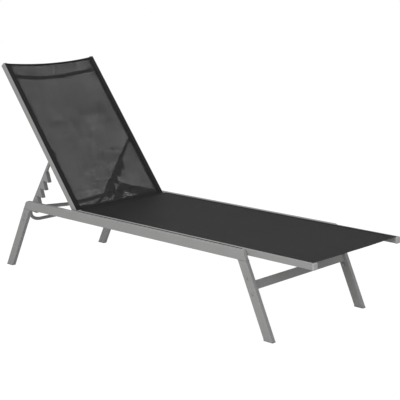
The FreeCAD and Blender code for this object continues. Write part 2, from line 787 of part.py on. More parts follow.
run_gap = size("run_gap")
hinge_inner = back_y - thick / 2
hinge_bolts, hinge_inserts, hinge_spacers = [], [], []
arm_bolts, arm_inserts, arm_spacers = [], [], []
bore, wide_ring = "d.pivot_dia + 0.1", "2.2 * d.pivot_dia"
for _, side in SIDES:
    hinge_bolts.append(bolt("d.pivot_dia", side, hinge_inner - run_gap, inner_face_y + 11, 1.7, 0.45))
    hinge_inserts.append(ring(bore, "d.insert_dia", side, inner_face_y, inner_face_y + 13))
    spacer_end = size("back_outer_y") + run_gap
    hinge_spacers.append(ring(bore, wide_ring, side, inner_face_y, spacer_end))
    arm_outer = size("arm_y") + size("arm_dia") / 2
    arm_inner = size("arm_y") - size("arm_dia") / 2
    arm_bolts.append(bolt("d.pivot_dia", side, arm_inner - run_gap, hinge_inner + 11, 1.7, 0.45))
    arm_inserts.append(ring(bore, "d.insert_dia", side, hinge_inner, hinge_inner + 13))
    arm_spacers.append(ring(bore, wide_ring, side, hinge_inner, arm_outer + run_gap))
finish(group(hinge_bolts), "hinge_bolts", hinge)
finish(group(hinge_inserts), "hinge_inserts", hinge)
finish(group(hinge_spacers), "hinge_spacers", hinge)
pivot_place = V(-size("arm_pivot"), 0, 0)
for items, label in (
    (arm_bolts, "support_pivot_bolts"),
    (arm_inserts, "support_pivot_inserts"),
    (arm_spacers, "support_pivot_spacers"),
):
    finish_back(shifted(group(items), pivot_place), label)

# ---------------------------------------------------------------- checks and export
doc.recompute()
for item in doc.Objects:
    if "Invalid" in item.State or "Error" in item.State:
        raise RuntimeError(f"{item.Label} did not compute: {item.State}")
labels = [item.Label for item in made]
if len(set(labels)) != len(labels):
    raise RuntimeError("two sub-parts share a name")
for item in made:
    if item.Shape.isNull() or not item.Shape.isValid() or not item.Shape.Solids:
        raise RuntimeError(f"{item.Label} has no valid shape")

os.makedirs("parts", exist_ok=True)
for item in made:
    item.Shape.exportStep(f"parts/{item.Label}.step")
print(len(made), "sub-parts")
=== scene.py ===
"""Reclining sun lounger: slings, caps, fasteners, welds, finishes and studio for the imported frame."""

import json
import math

import bpy
from mathutils import Matrix, Vector


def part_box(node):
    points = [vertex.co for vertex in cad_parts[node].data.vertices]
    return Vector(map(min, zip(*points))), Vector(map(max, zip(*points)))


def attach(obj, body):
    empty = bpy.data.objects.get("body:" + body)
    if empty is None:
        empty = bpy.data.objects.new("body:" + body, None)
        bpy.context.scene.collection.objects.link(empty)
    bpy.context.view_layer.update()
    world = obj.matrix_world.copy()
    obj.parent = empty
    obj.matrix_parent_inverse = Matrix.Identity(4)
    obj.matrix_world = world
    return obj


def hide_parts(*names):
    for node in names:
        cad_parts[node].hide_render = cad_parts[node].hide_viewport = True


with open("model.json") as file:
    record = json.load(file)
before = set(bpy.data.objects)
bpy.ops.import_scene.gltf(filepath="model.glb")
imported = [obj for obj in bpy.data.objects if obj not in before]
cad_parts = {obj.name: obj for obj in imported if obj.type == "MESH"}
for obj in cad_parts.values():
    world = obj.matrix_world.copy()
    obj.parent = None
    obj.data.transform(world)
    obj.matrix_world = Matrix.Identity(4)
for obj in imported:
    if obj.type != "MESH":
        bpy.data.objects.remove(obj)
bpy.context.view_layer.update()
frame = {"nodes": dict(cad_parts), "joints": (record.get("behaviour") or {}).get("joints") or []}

bl_info = {
    "name": "Reclining Sun Lounger",
    "version": (1, 0, 0),
    "blender": (4, 5, 0),
    "location": "View3D > Sidebar > Lounger",
    "description": "Dresses the lounger's frame with slings, caps, fasteners and finishes",
    "category": "Object",
}

MM = 0.001
SIDES = {"left": 1, "right": -1}  # sign along Y
ENDS = {"rear": -1, "front": 1}  # sign along X


def joint_at(name):
    """Place of a joint's axis at rest."""
    return next(joint for joint in frame["joints"] if joint["name"] == name)["pos_m"]


NODES = frame["nodes"]
HINGE = joint_at("backrest_recline")
PIVOT = joint_at("support_swing")
LEAN = math.atan2(PIVOT[2] - HINGE[2], HINGE[0] - PIVOT[0])  # the backrest above level, at rest
UP_BACK = Vector((-math.cos(LEAN), 0.0, math.sin(LEAN)))  # up along the backrest
OUT_FRONT = Vector((math.sin(LEAN), 0.0, math.cos(LEAN)))  # out of its front face

# Sizes of the frame that no part's own box gives
PLAIN_SLING = 1.4 * MM  # thickness of the frame's own plain slings
BACK_RAIL_DEEP = 25 * MM  # a backrest rail, front to back
BACK_RAIL_TAIL = 16 * MM  # a backrest rail past the hinge
BACK_GROOVE_SIDE = 1.4 * MM  # from the middle of a backrest groove out to the cloth's fold
LEG_CUT = 45 * MM  # a leg's level cut, front to back
CROSS_RADIUS = 9.5 * MM  # cross tubes under the slings
BAR_RADIUS = 9 * MM  # support bar
LOWER_TUBE = (18 * MM, -1 * MM)  # the backrest's lower tube, along it and out of it from the hinge
UPPER_TUBE = (735 * MM, 0.0)  # and its upper tube
ARM_TILT = math.radians(32.8)  # a support arm from the vertical, at rest
ARM_ASIDE = 230 * MM  # a support arm from the lounger's middle
TOOTH_FIRST = 139 * MM  # the first tooth's tip below the pivot
TOOTH_UNDER = 17 * MM  # how far a tooth's root lies below its tip
TOOTH_PITCH = 47.1 * MM


# ---------------------------------------------------------------- settings
class LoungerFabric(bpy.types.PropertyGroup):
    """Sizes and colour of the two woven slings."""

    thickness: bpy.props.FloatProperty(
        name="Thickness", description="Thickness of the woven sling", default=0.4 * MM, unit="LENGTH"
    )
    yarn_pitch: bpy.props.FloatProperty(
        name="Yarn Pitch", description="Distance from yarn to yarn", default=3.0 * MM, unit="LENGTH"
    )
    opening: bpy.props.FloatProperty(
        name="Opening",
        description="Open part of the pitch between yarns",
        default=0.33,
        subtype="FACTOR",
    )
    seat_sag: bpy.props.FloatProperty(
        name="Seat Sag",
        description="Dip of the seat sling between its rails",
        default=5 * MM,
        unit="LENGTH",
    )
    back_sag: bpy.props.FloatProperty(
        name="Back Sag",
        description="Dip of the backrest sling between its rails",
        default=6 * MM,
        unit="LENGTH",
    )
    top_curve: bpy.props.FloatProperty(
        name="Top Curve",
        description="How far the backrest sling's top edge dips",
        default=17.5 * MM,
        unit="LENGTH",
    )
    hem: bpy.props.FloatProperty(
        name="Hem", description="Width of the sewn side hems", default=28 * MM, unit="LENGTH"
    )
    colour: bpy.props.FloatVectorProperty(
        name="Colour",
        description="Colour of the coated yarn",
        subtype="COLOR",
        default=(0.0125, 0.0123, 0.0125),
    )


class LoungerPaint(bpy.types.PropertyGroup):
    """Colours of the frame's powder coat and of its plastic parts."""

    coat: bpy.props.FloatVectorProperty(
        name="Powder Coat",
        description="Colour of the tubes",
        subtype="COLOR",
        default=(0.315, 0.314, 0.313),
    )
    grain: bpy.props.FloatProperty(
        name="Grain",
        description="Depth of the coat's fine texture",
        default=0.06 * MM,
        unit="LENGTH",
    )
    plug: bpy.props.FloatVectorProperty(
        name="End Caps",
        description="Colour of the light plastic caps",
        subtype="COLOR",
        default=(0.42, 0.418, 0.41),
    )
    foot: bpy.props.FloatVectorProperty(
        name="Foot Caps",
        description="Colour of the foot caps",
        subtype="COLOR",
        default=(0.22, 0.218, 0.215),
    )
    steel: bpy.props.FloatVectorProperty(
        name="Fasteners",
        description="Colour of the bolts and nuts",
        subtype="COLOR",
        default=(0.42, 0.41, 0.40),
    )


class LoungerStage(bpy.types.PropertyGroup):
    """Camera and light."""

    lens: bpy.props.FloatProperty(name="Lens", description="Focal length in millimetres", default=95.6)
    key: bpy.props.FloatProperty(name="Key Light", description="Power of the large side light", default=98.0)
    fill: bpy.props.FloatProperty(name="Fill", description="Strength of the even light", default=0.50)


# ---------------------------------------------------------------- modelling helpers
def deselect():
    """Leaves nothing selected."""
    if bpy.context.mode != "OBJECT":
        bpy.ops.object.mode_set(mode="OBJECT")
    bpy.ops.object.select_all(action="DESELECT")


def make_active(piece):
    """Makes one piece the only selected one."""
    deselect()
    piece.select_set(True)
    bpy.context.view_layer.objects.active = piece


def choose(piece, kind, wanted):
    """Enters edit mode with the faces, edges or vertices selected for which wanted(item) holds."""
    make_active(piece)
    bpy.ops.object.mode_set(mode="EDIT")
    bpy.ops.mesh.select_mode(type=kind)
    bpy.ops.mesh.select_all(action="DESELECT")
    bpy.ops.object.mode_set(mode="OBJECT")
    mesh = piece.data
    items = {"FACE": mesh.polygons, "EDGE": mesh.edges, "VERT": mesh.vertices}[kind]
    for item in items:
        item.select = bool(wanted(item))
    bpy.ops.object.mode_set(mode="EDIT")


def add_modifier(piece, kind, **settings):
    """Adds a modifier with its settings and applies it."""
    make_active(piece)
    modifier = piece.modifiers.new(kind.title(), kind)
    for name, value in settings.items():
        setattr(modifier, name, value)
    bpy.ops.object.modifier_apply(modifier=modifier.name)


def place(piece, matrix):
    """Moves a piece's mesh and leaves the object at the origin."""
    piece.matrix_world = matrix @ piece.matrix_world
    make_active(piece)
    bpy.ops.object.transform_apply(location=True, rotation=True, scale=True)


def copy_of(piece, matrix):
    """A copy with its own mesh, moved by a matrix."""
    make_active(piece)
    bpy.ops.object.duplicate(linked=False)
    twin = bpy.context.view_layer.objects.active
    place(twin, matrix)
    return twin


def join(pieces, name):
    """Joins several meshes in one piece."""
    deselect()
    for piece in pieces:
        piece.select_set(True)
    bpy.context.view_layer.objects.active = pieces[0]
    if len(pieces) > 1:
        bpy.ops.object.join()
    piece = bpy.context.view_layer.objects.active
    piece.name = name
    piece.data.name = name
    return piece


def outward(piece):
    """Merges doubles and points every face outwards."""
    choose(piece, "VERT", lambda v: True)
    bpy.ops.mesh.remove_doubles(threshold=1e-6)
    bpy.ops.mesh.normals_make_consistent(inside=False)
    bpy.ops.object.mode_set(mode="OBJECT")


def smooth(piece, degrees=35):
    """Smooth shading, with creases kept sharp."""
    make_active(piece)
    bpy.ops.object.shade_smooth_by_angle(angle=math.radians(degrees))


def dress(piece, body, material, nodes=()):
    """Gives a finished piece its material and its place on the lounger."""
    piece.data.materials.clear()
    piece.data.materials.append(material)
    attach(piece, body)
    if nodes:
        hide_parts(*nodes)
    return piece


def span(node):
    """Lowest and highest corner of a frame part."""
    low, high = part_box(node)
    return Vector(low), Vector(high)


# ---------------------------------------------------------------- shader helpers
class Wire:
    """One shader socket that can be used in Python expressions."""

    def __init__(self, graph, socket):
        self.graph = graph
        self.socket = socket

    def _math(self, operation, *values, clamp=False):
        """Adds a Math node that works on these numbers or wires."""
        settings = {"operation": operation, "use_clamp": clamp}
        return self.graph.node("Math", settings, dict(enumerate(values)))

    def __add__(self, other):
        return self._math("ADD", self, other)

    __radd__ = __add__

    def __mul__(self, other):
        return self._math("MULTIPLY", self, other)

    __rmul__ = __mul__

    def __sub__(self, other):
        return self._math("SUBTRACT", self, other)

    def __rsub__(self, other):
        return self._math("SUBTRACT", other, self)

    def __truediv__(self, other):
        return self._math("DIVIDE", self, other)

    def __gt__(self, other):
        return self._math("GREATER_THAN", self, other)

    def __mod__(self, other):
        return self._math("FLOORED_MODULO", self, other)

    def sine(self):
        return self._math("SINE", self)

    def size(self):
        return self._math("ABSOLUTE", self)

    def floor(self):
        return self._math("FLOOR", self)

    def clamped(self):
        return self._math("ADD", self, 0.0, clamp=True)


class Graph:
    """The shader nodes of a material or of the world."""

    def __init__(self, owner):
        owner.use_nodes = True
        self.tree = owner.node_tree
        self.tree.nodes.clear()

    def node(self, kind, settings=None, inputs=None, output=0):
        """Adds a node, sets it, feeds its sockets and returns one output."""
        made = self.tree.nodes.new("ShaderNode" + kind)
        for name, value in (settings or {}).items():
            setattr(made, name, value)
        for name, value in (inputs or {}).items():
            if isinstance(value, Wire):
                self.tree.links.new(value.socket, made.inputs[name])
            else:
                made.inputs[name].default_value = value
        return Wire(self, made.outputs[output]) if made.outputs else None


class Finish(Graph):
    """Builds one node material."""

    def __init__(self, name):
        self.material = bpy.data.materials.new(name)
        super().__init__(self.material)

    def blend(self, mask, one, two):
        """Mixes two colours by a mask."""
        return self.node("Mix", {"data_type": "RGBA"}, {0: mask, 6: one, 7: two}, output=2)

    def noise(self, at, scale, detail=2.0, roughness=0.5):
        """Cloudy noise, from about 0 to 1."""
        inputs = {"Vector": at, "Scale": scale, "Detail": detail, "Roughness": roughness}
        return self.node("TexNoise", inputs=inputs)

    def streaks(self, across, along):
        """Noise drawn out along one direction of the cloth."""
        at = self.node("CombineXYZ", inputs={"X": across, "Y": along})
        return self.noise(at, 1.0, roughness=0.6)

    def coordinates(self):
        """Object coordinates."""
        return self.node("TexCoord", output="Object")

    def bump(self, height, distance):
        """Small relief of a given depth."""
        return self.node("Bump", inputs={"Height": height, "Distance": distance, "Strength": 1.0})

    def surface(self, **inputs):
        """The main shader, wired to the output."""
        named = {name.replace("_", " "): value for name, value in inputs.items()}
        return self.close(self.node("BsdfPrincipled", inputs=named, output="BSDF"))

    def close(self, shader):
        """Wires a shader to the output and returns the finished material."""
        self.node("OutputMaterial", inputs={"Surface": shader})
        return self.material


def tint(colour, factor):
    """A colour made lighter or darker, with full alpha."""
    return (*[min(1.0, c * factor) for c in colour], 1.0)


def powder_coat(name, colour, grain):
    """Fine textured powder coat, lighter along its edges as a painted highlight."""
    f = Finish(name)
    at = f.coordinates()
    fine = f.noise(at, scale=700.0, roughness=0.6)
    cloud = f.noise(at, scale=9.0, detail=3.0, roughness=0.55)
    mottle = f.noise(at, scale=160.0)
    rounded = f.node("Bevel", {"samples": 4}, {"Radius": 1.6 * MM})
    flat = f.node("NewGeometry", output="Normal")
    match = f.node("VectorMath", {"operation": "DOT_PRODUCT"}, {0: rounded, 1: flat}, output="Value")
    # painted highlight: the edges that the bevel finds are lightened, broken up by the mottle
    edge = ((1.0 - match) * 5.0 * mottle).clamped()
    shade = (cloud * 0.7 + mottle * 0.3).clamped()
    base = f.blend(shade, tint(colour, 0.92), tint(colour, 1.08))
    base = f.blend(edge * 0.55, base, tint(colour, 1.35))
    rough = 0.46 + mottle * 0.10 + cloud * 0.06
    bumped = f.bump(fine + mottle * 0.5, grain)
    return f.surface(Base_Color=base, Roughness=rough, Normal=bumped, Specular_IOR_Level=0.45)


def moulded(name, colour, roughness):
    """Moulded plastic with a faint spark-eroded grain."""
    f = Finish(name)
    at = f.coordinates()
    grain = f.noise(at, scale=520.0, roughness=0.55)
    cloud = f.noise(at, scale=30.0)
    base = f.blend(cloud, tint(colour, 0.88), tint(colour, 1.12))
    rough = roughness + grain * 0.12
    return f.surface(Base_Color=base, Roughness=rough, Normal=f.bump(grain, 0.08 * MM))


def plated(name, colour):
    """Dull zinc plated steel with fine turning marks and slight staining."""
    f = Finish(name)
    at = f.coordinates()
    stretch = f.node("Mapping", inputs={"Vector": at, "Scale": (1.0, 14.0, 1.0)})
    lines = f.noise(stretch, scale=260.0, detail=3.0, roughness=0.6)
    stain = f.noise(at, scale=120.0, detail=3.0, roughness=0.6)
    base = f.blend(stain, tint(colour, 0.75), tint(colour, 1.3))
    rough = 0.34 + stain * 0.2
    return f.surface(Base_Color=base, Metallic=1.0, Roughness=rough, Normal=f.bump(lines, 0.05 * MM))


def woven(name, fabric):
    """Coated yarn in a plain weave with open corners. The map runs in metres across and along."""
    f = Finish(name)
    cloth = f.node("UVMap", {"uv_map": "cloth"})
    across, along = (
        f.node("SeparateXYZ", inputs={"Vector": cloth}, output=way) / fabric.yarn_pitch for way in "XY"
    )
    over = (across.floor() + along.floor()) % 2.0
    warp = (across * math.pi).sine().size()
    weft = (along * math.pi).sine().size()
    off_warp = (across % 1.0 - 0.5).size()
    off_weft = (along % 1.0 - 0.5).size()
    uneven = f.streaks(across * 0.3, along * 0.010) + f.streaks(across * 0.012, along * 0.26)
    cloud = f.noise(f.coordinates(), scale=6.0, detail=3.0, roughness=0.55)
    yarn_half = 0.5 - fabric.opening / 2.0 + (uneven - 1.0) * 0.10 + (cloud - 0.5) * 0.06
    hole = (off_warp > yarn_half) * (off_weft > yarn_half)
    height = over * (warp * (0.45 + weft * 0.55)) + (1.0 - over) * (weft * (0.45 + warp * 0.55))
    doubled = f.node("Attribute", {"attribute_name": "doubled"}, output="Fac")
    seam = f.node("Attribute", {"attribute_name": "seam"}, output="Fac")
    fleck = f.noise(f.coordinates(), scale=420.0, roughness=0.6)
    # painted shade and highlight: by the yarn's height its crowns are lightened and the dips where it passes
    # under are darkened; the fleck is random tone
    shade = (height * 0.55 + fleck * 0.45).clamped()
    base = f.blend(shade, tint(fabric.colour, 0.55), tint(fabric.colour, 1.5))
    base = f.blend(cloud * 0.25, base, tint(fabric.colour, 1.9))
    # painted shade: the cloth is darkened where it is doubled in a hem
    base = f.blend(doubled * 0.5, base, tint(fabric.colour, 0.62))
    base = f.blend(seam, base, tint(fabric.colour, 0.35))
    alpha = 1.0 - hole * (1.0 - (doubled > 0.5))
    rough = 0.52 + fleck * 0.16 - warp * 0.05
    bumped = f.bump(height + fleck * 0.15, 0.35 * MM)
    return f.surface(
        Base_Color=base, Roughness=rough, Alpha=alpha, Normal=bumped, Specular_IOR_Level=0.2
    )


MATERIALS = {}


# ---------------------------------------------------------------- slings
TUCK = 4 * MM  # cloth that goes down into a rail's groove
OVER_RAIL = 0.15 * MM  # air between a rail and the cloth's underside
END_HEM = 14 * MM  # hems across the slings' ends, but for the backrest's top
HEM_LIFT = 0.45 * MM  # how far a doubled hem stands up
EASE = 30 * MM  # width beside a rail over which the cloth starts to dip
RIPPLE = 0.5 * MM  # height of the cloth's unevenness
END_RUN, END_SHARE = 300 * MM, 0.35  # the dip grows from this share at an end, over a part of this run
STITCH_PITCH = 4.2 * MM
STITCH_HALF = (1.45 * MM, 0.36 * MM, 0.30 * MM)  # half a stitch's length, width and height


def rows(length, folds, fine=0.8 * MM, step=12 * MM):
    """Places of the rows along one direction, closely spaced on both sides of each fold from either end."""
    places = {0.0, length}
    for fold in folds:
        places |= {fold - fine / 2, fold + fine / 2, length - fold - fine / 2, length - fold + fine / 2}
    marks = sorted(places)
    filled = []
    for start, end in zip(marks, marks[1:]):
        count = max(1, round((end - start) / step))
        filled += [start + (end - start) * i / count for i in range(count)]
    return [*filled, length]


def woven_sheet(name, across, along, shape, attributes):
    """A grid whose vertices are put at shape(across, along), with a map in metres."""
    deselect()
    bpy.ops.mesh.primitive_grid_add(
        x_subdivisions=len(across) - 1, y_subdivisions=len(along) - 1, size=2.0, location=(0, 0, 0)
    )
    piece = bpy.context.view_layer.objects.active
    piece.name = piece.data.name = name
    mesh = piece.data
    flat = []
    for vertex in mesh.vertices:
        i = round((vertex.co.x + 1) / 2 * (len(across) - 1))
        j = round((vertex.co.y + 1) / 2 * (len(along) - 1))
        flat.append((across[i], along[j]))
        vertex.co = shape(across[i], along[j])
    mesh.uv_layers[0].name = "cloth"
    cloth = mesh.uv_layers["cloth"].data
    for loop in mesh.loops:
        cloth[loop.index].uv = flat[loop.vertex_index]
    for label, rule in attributes.items():
        layer = mesh.attributes.new(label, "FLOAT", "POINT")
        for k, (a, b) in enumerate(flat):
            layer.data[k].value = float(rule(a, b))
    return piece


def ripple(a, b):
    """Faint uneven tension in the cloth, from -1 to 1."""
    waves = math.sin(31 * a + 2.1 * math.sin(5 * b)) + math.sin(17 * a - 7 * b + 1.3)
    return (waves + math.sin(11 * b + 6 * a + 0.4)) / 3


def stitch_row(start, end, shape, raised):
    """A row of thread stitches between two places of the flat cloth, laid on its surface."""
    run = Vector(end) - Vector(start)
    count = int(run.length / STITCH_PITCH)
    deselect()
    bpy.ops.mesh.primitive_uv_sphere_add(segments=6, ring_count=4, radius=1.0, location=(0, 0, 0))
    row = bpy.context.view_layer.objects.active
    place(row, Matrix.Diagonal((*STITCH_HALF, 1.0)))
    add_modifier(
        row, "ARRAY", count=count, use_relative_offset=False, use_constant_offset=True,
        constant_offset_displace=(STITCH_PITCH, 0, 0),
    )
    ahead = run.normalized()
    beside = Vector((-ahead.y, ahead.x))
    for vertex in row.data.vertices:
        x, y, z = vertex.co
        at = Vector(start) + ahead * (x + STITCH_PITCH / 2) + beside * y
        vertex.co = shape(at.x, at.y) + raised * (z + 0.1 * MM)
    outward(row)
    smooth(row, 60)
    return row


class Sling:
    """The shape of one sling: where its cloth lies, its hems and its seams."""

    def __init__(self, half, length, side_hem, end_hems, sag):
        self.half = half
        self.length = length
        self.width = 2 * (half + TUCK)
        self.side_hem = side_hem
        self.end_hems = end_hems
        self.sag = sag

    def side(self, a):
        """Distance in from the nearer long edge."""
        return min(a, self.width - a)

    def doubled(self, a, b):
        """Whether the cloth is folded over in a hem here."""
        at_side = self.side(a) <= TUCK + self.side_hem
        return at_side or b <= self.end_hems[0] or self.length - b <= self.end_hems[1]

    def seam(self, a, b):
        """Whether a hem's edge runs here."""
        near_side = abs(self.side(a) - TUCK - self.side_hem) < 0.6 * MM
        near_end = min(abs(b - self.end_hems[0]), abs(self.length - b - self.end_hems[1])) < 0.6 * MM
        return near_side or near_end

    def height(self, a, b, inner):
        """Height of the cloth over its rails, and how far its edge goes down in the groove."""
        y = a - self.width / 2
        free = min(1.0, max(0.0, (inner - abs(y)) / EASE))
        bowl = max(0.0, 1 - (y / self.half) ** 2) ** 0.8
        ends = min(1.0, END_SHARE + b / END_RUN, END_SHARE + (self.length - b) / END_RUN)
        dip = self.sag * bowl * ends * free - RIPPLE * ripple(a, b) * free
        lift = HEM_LIFT if self.doubled(a, b) else 0.0
        return lift - dip - max(0.0, abs(y) - self.half)

    def across(self, a):
        """Place across the lounger."""
        y = a - self.width / 2
        return math.copysign(min(abs(y), self.half), y)

    def make(self, name, shape, fabric):
        """The cloth itself, laid at shape(across, along)."""
        attributes = {"doubled": self.doubled, "seam": self.seam}
        folds = (TUCK, TUCK + self.side_hem)
        across = rows(self.width, folds)
        along = rows(self.length, self.end_hems)
        piece = woven_sheet(name, across, along, shape, attributes)
        add_modifier(piece, "SOLIDIFY", thickness=fabric.thickness, offset=-1.0)
        smooth(piece, 40)
        return piece

    def stitches(self, name, shape, raised):
        """Rows of thread beside every hem's fold: two along each side and one across each end."""
        inset, apart = 2.5 * MM, 4 * MM
        low = TUCK + self.side_hem - inset
        high = self.width - low
        first, last = 6 * MM, self.length - 6 * MM
        lines = [((a, first), (a, last)) for a in (low, low - apart, high, high + apart)]
        left, right = TUCK + 3 * MM, self.width - TUCK - 3 * MM
        for b in (self.end_hems[0] - inset, self.length - self.end_hems[1] + inset):
            lines.append(((left, b), (right, b)))
        return join([stitch_row(start, end, shape, raised) for start, end in lines], name)


class LOUNGER_OT_seat_sling(bpy.types.Operator):
    """Seat sling stretched between the seat rails, hemmed all round."""

    bl_idname = "lounger.seat_sling"
    bl_label = "Seat Sling"

    def execute(self, context):
        fabric = context.scene.lounger_fabric
        low, high = span("seat_sling")
        rail_low, rail_high = span("seat_rail_left")
        length = high.x - low.x
        top = rail_high.z + OVER_RAIL + fabric.thickness
        side_hem, corner = 12 * MM, 5 * MM
        sling = Sling(high.y, length, side_hem, (END_HEM, END_HEM), fabric.seat_sag)

        def shape(a, b):
            y = sling.across(a)
            cut = max(0.0, abs(y) - (sling.half - corner))
            inset = corner - math.sqrt(max(0.0, corner**2 - cut**2))
            x = low.x + b * (length - inset) / length
            return Vector((x, y, top + sling.height(a, b, rail_low.y)))

        piece = sling.make("seat_fabric", shape, fabric)
        dress(piece, "base", MATERIALS["weave"], ["seat_sling"])
        thread = sling.stitches("seat_stitches", shape, Vector((0, 0, 1)))
        dress(thread, "base", MATERIALS["thread"])
        return {"FINISHED"}


class LOUNGER_OT_back_sling(bpy.types.Operator):
    """Backrest sling with wide side hems and a dipped top edge."""

    bl_idname = "lounger.back_sling"
    bl_label = "Backrest Sling"

    def execute(self, context):
        fabric = context.scene.lounger_fabric
        low, high = span("backrest_sling")
        start, top_hem = -3 * MM, 12 * MM
        length = (high.z - low.z - PLAIN_SLING * math.cos(LEAN)) / math.sin(LEAN)
        rail_inner = span("backrest_rail_left")[0].y
        front = BACK_RAIL_DEEP / 2 + OVER_RAIL + fabric.thickness
        half = high.y + BACK_GROOVE_SIDE
        sling = Sling(half, length, fabric.hem, (END_HEM, top_hem), fabric.back_sag)
        curve = fabric.top_curve

        def shape(a, b):
            y = sling.across(a)
            s = start + b * (length - curve * (1 - (y / half) ** 2)) / length
            h = front + sling.height(a, b, rail_inner)
            return Vector(HINGE) + UP_BACK * s + OUT_FRONT * h + Vector((0, y, 0))

        piece = sling.make("backrest_fabric", lambda a, b: shape(sling.width - a, b), fabric)
        dress(piece, "backrest", MATERIALS["weave"], ["backrest_sling"])
        thread = sling.stitches("backrest_stitches", shape, OUT_FRONT)
        dress(thread, "backrest", MATERIALS["thread"])
        return {"FINISHED"}


# ---------------------------------------------------------------- caps
def rounded_block(low, high, radius, segments=4):
    """A block between two corners with all its edges rounded."""
    low, high = Vector(low), Vector(high)
    deselect()
    bpy.ops.mesh.primitive_cube_add(size=1.0, location=(low + high) / 2, scale=high - low)
    block = bpy.context.view_layer.objects.active
    place(block, Matrix.Identity(4))
    choose(block, "EDGE", lambda edge: True)
    bpy.ops.mesh.bevel(offset=radius, segments=segments, affect="EDGES")
    bpy.ops.object.mode_set(mode="OBJECT")
    return block


def tube_cap(wide, high, head):
    """A moulded cap for a rail end, pointing along +X with its seat on the YZ plane."""
    rim, lip, back = 0.6 * MM, 1.6 * MM, -1.2 * MM
    wall, groove, plug_long = 1.6 * MM, 8.2 * MM, 12 * MM
    cap = rounded_block(
        (back, -wide / 2 - rim, -high / 2 - lip), (head, wide / 2 + rim, high / 2), 3.4 * MM
    )
    choose(cap, "FACE", lambda face: face.normal.x > 0.99 and face.center.x > head - 0.1 * MM)
    for border, rise in ((2.2, 0.9), (1.5, 0.35), (1.2, -0.25)):
        bpy.ops.mesh.inset(thickness=border * MM, depth=rise * MM)
    bpy.ops.object.mode_set(mode="OBJECT")
    plug = rounded_block(
        (-plug_long, -wide / 2 + wall, -high / 2 + wall),
        (0.0, wide / 2 - wall, high / 2 - groove),
        0.6 * MM,
        segments=2,
    )
    cap = join([cap, plug], "cap")
    smooth(cap, 40)
    return cap


class LOUNGER_OT_rail_caps(bpy.types.Operator):
    """Moulded caps in the ends of the seat rails and backrest rails."""

    bl_idname = "lounger.rail_caps"
    bl_label = "Rail End Caps"

    def execute(self, context):
        turn_back = Matrix.Rotation(math.pi, 4, "Z")
        lean = Matrix((-UP_BACK, Vector((0, 1, 0)), OUT_FRONT)).transposed().to_4x4()
        for word in SIDES:
            low, high = span(f"seat_rail_{word}")
            middle = (low + high) / 2
            size = high - low
            foot = tube_cap(size.y, size.z, 8 * MM)
            rear = copy_of(foot, Matrix.Translation((low.x, middle.y, middle.z)) @ turn_back)
            place(foot, Matrix.Translation((high.x, middle.y, middle.z)))
            pair = join([foot, rear], f"seat_rail_end_caps_{word}")
            dress(pair, "base", MATERIALS["plug"], [f"seat_rail_caps_{word}"])

            low, high = span(f"backrest_rail_{word}")
            middle_y = (low.y + high.y) / 2
            length = (high.z - low.z - BACK_RAIL_DEEP * math.cos(LEAN)) / math.sin(LEAN)
            upper = tube_cap(high.y - low.y, BACK_RAIL_DEEP, 5 * MM)
            spot = Matrix.Translation(Vector(HINGE) + Vector((0, middle_y, 0))) @ lean
            lower = copy_of(upper, spot @ Matrix.Translation((BACK_RAIL_TAIL, 0, 0)))
            place(upper, spot @ Matrix.Translation((BACK_RAIL_TAIL - length, 0, 0)) @ turn_back)
            pair = join([upper, lower], f"backrest_rail_end_caps_{word}")
            dress(pair, "backrest", MATERIALS["plug"], [f"backrest_rail_caps_{word}"])
        return {"FINISHED"}


class LOUNGER_OT_gap_shade_strips(bpy.types.Operator):
    """Black strips that fill the gap between the side rails and the seat rails: painted shade where the gap
    holds only shadow.
    """

    bl_idname = "lounger.spacer_strips"
    bl_label = "Gap Shade Strips"

    def execute(self, context):
        seat_low, seat_high = span("seat_rail_left")
        rail_low, rail_high = span("rail_left")
        play, below, above, short = 0.1 * MM, 6 * MM, 1.7 * MM, 40 * MM
        low = Vector((seat_low.x, seat_high.y + play, rail_high.z - below))
        high = Vector((rail_high.x - short, rail_low.y - play, rail_high.z + above))
        # painted shade: a black block along the whole gap beside the seat rail
        left = rounded_block(low, high, 0.7 * MM, segments=2)
        right = copy_of(left, Matrix.Translation((0, -(low.y + high.y), 0)))
        strips = join([left, right], "spacer_strips")
        smooth(strips, 40)
        dress(strips, "base", MATERIALS["black"])
        return {"FINISHED"}


class LOUNGER_OT_foot_caps(bpy.types.Operator):
    """Moulded soles under the four legs."""

    bl_idname = "lounger.foot_caps"
    bl_label = "Foot Caps"

    def execute(self, context):
        for end, out in ENDS.items():
            leg_low, leg_high = span(f"{end}_leg_left")
            tilt = -out * (leg_high.x - leg_low.x - LEG_CUT) / (leg_high.z - leg_low.z)
            for word in SIDES:
                piece = self.sole(f"{end}_foot_cap_{word}", out, tilt, leg_low.z)
                piece.name = f"{end}_foot_{word}"
                dress(piece, "base", MATERIALS["foot"], [f"{end}_foot_cap_{word}"])
        return {"FINISHED"}

    def sole(self, node, out, tilt, top):
        """A sole from the ground to the leg's cut, with its plug inside the leg."""
        low, high = span(node)
        middle = (high.x if out > 0 else low.x) - out * LEG_CUT / 2
        half = LEG_CUT / 2 - 0.1 * MM
        plug_high = 20 * MM
        sole = rounded_block(
            (middle - half, low.y, 0.0), (middle + half, high.y, top), 0.9 * MM, segments=3
        )
        for vertex in sole.data.vertices:
            vertex.co.x += tilt * vertex.co.z
        choose(sole, "FACE", lambda face: face.normal.z > 0.99)
        bpy.ops.mesh.inset(thickness=1.6 * MM)
        bpy.ops.mesh.extrude_region_move(
            TRANSFORM_OT_translate={"value": (tilt * plug_high, 0, plug_high)}
        )
        bpy.ops.object.mode_set(mode="OBJECT")
        smooth(sole, 40)
        return sole


# ---------------------------------------------------------------- bolts and nuts
LEG_HEAD = 5.7 * MM  # radius of a leg bolt's head
LEG_BOLT_LONG = 30 * MM  # through the leg, the end plate and the nut
PIVOT_HEAD = 6.8 * MM
HINGE_SEAT = 251.7 * MM  # seat of a hinge bolt's head, 0.3 mm inboard of a backrest rail
PIVOT_SEAT = 221.7 * MM  # seat of a support pivot bolt's head, 0.3 mm inboard of a support arm


